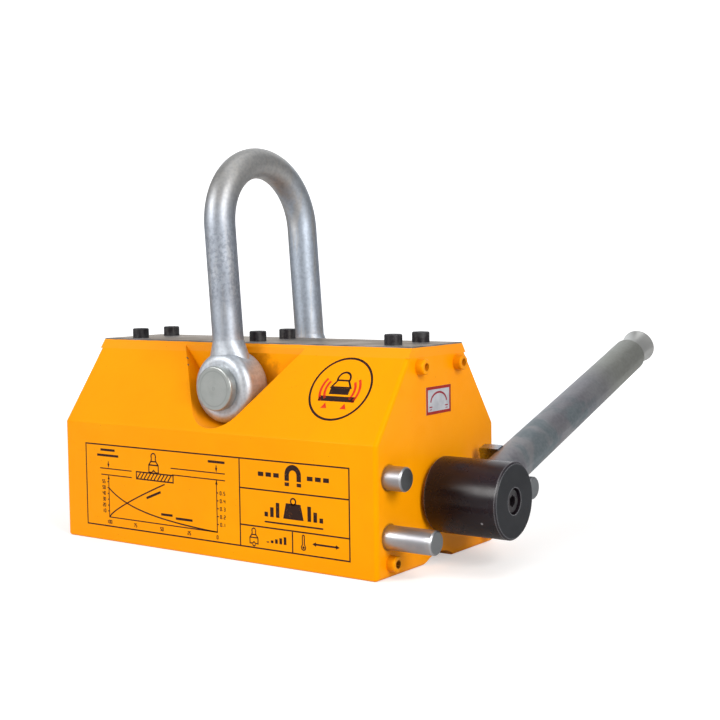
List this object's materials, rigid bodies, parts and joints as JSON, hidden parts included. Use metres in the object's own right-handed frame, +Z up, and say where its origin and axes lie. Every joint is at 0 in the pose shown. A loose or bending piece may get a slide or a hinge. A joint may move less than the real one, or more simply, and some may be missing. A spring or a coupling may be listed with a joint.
{
  "type": "lifting magnet",
  "caption": "Hand-operated permanent lifting magnet with angled steel housing, bow shackle on top, and a turning handle at one end.",
  "frame": {"origin": "middle of the lifting face, on the plane that touches the load, over the bar groove", "axes": "+X along the rotor axle towards the handle, -Y towards the labelled front, +Z up towards the shackle"},
  "size_m": [0.284, 0.2855, 0.2344],
  "materials": {
    "yellow_paint": "smooth gloss enamel, worn to bare steel at a few edges",
    "bare_steel": "ground steel with light stains",
    "black_oxide_steel": "oiled black oxide with a soft sheen",
    "black_oxide_screws": "black oxide, lightly rubbed",
    "zinc_plate": "cloudy zinc plating over forged steel",
    "zinc_sleeve": "mottled zinc plating, half matt",
    "bright_pin_steel": "bright turned and plated steel",
    "pin_head_steel": "flat turned face, pale plating",
    "plain_steel": "plain machined low-carbon steel",
    "magnet_nickel": "nickel-plated rare-earth magnet",
    "non_magnetic_steel": "plain stainless steel",
    "bronze": "oiled bronze",
    "rubber_ring": "plain black rubber",
    "printed_film": "thin printed film"
  },
  "bodies": {
    "housing": {"front_pole_block": "yellow_paint", "rear_pole_block": "yellow_paint", "pole_separator": "non_magnetic_steel", "stator_magnets": "magnet_nickel", "stator_spacer": "non_magnetic_steel", "top_plate": "bare_steel", "top_plate_screws": "black_oxide_screws", "handle_end_plate": "yellow_paint", "far_end_plate": "yellow_paint", "handle_end_screws": "yellow_paint", "far_end_screws": "yellow_paint", "drive_bush": "bronze", "tail_bush": "bronze", "front_stop_pin": "bright_pin_steel", "rear_stop_pin": "bright_pin_steel", "catch_pin": "bright_pin_steel", "shackle_pin": "pin_head_steel", "shackle_pin_collar": "pin_head_steel", "rating_panel": "printed_film", "round_label": "printed_film", "end_label": "printed_film"},
    "shackle": {"shackle": "zinc_plate"},
    "rotor": {"rotor_front_pole": "plain_steel", "rotor_rear_pole": "plain_steel", "rotor_magnets": "magnet_nickel", "drive_shaft": "non_magnetic_steel", "tail_shaft": "non_magnetic_steel", "rotor_cap_screws": "black_oxide_screws", "hub": "black_oxide_steel", "hub_key": "plain_steel", "hub_washer": "black_oxide_screws", "hub_screw": "black_oxide_screws", "handle_rod": "zinc_sleeve", "drag_ring": "rubber_ring"},
    "sleeve": {"handle_sleeve": "zinc_sleeve", "guide_screw": "black_oxide_screws", "grip_knob": "zinc_sleeve", "latch_key": "zinc_plate"}
  },
  "joints": [
    {"name": "handle_turn", "type": "hinge", "parent": "housing", "child": "rotor", "pos_m": [0, 0, 0.0375], "axis": [1, 0, 0], "range_deg": [0, 160]},
    {"name": "sleeve_slide", "type": "slide", "parent": "rotor", "child": "sleeve", "axis": [0, 0.9537, 0.3007], "range_m": [0, 0.008]},
    {"name": "shackle_swing", "type": "hinge", "parent": "housing", "child": "shackle", "pos_m": [0, 0, 0.095], "axis": [0, 1, 0], "range_deg": [-54, 62]}
  ]
}
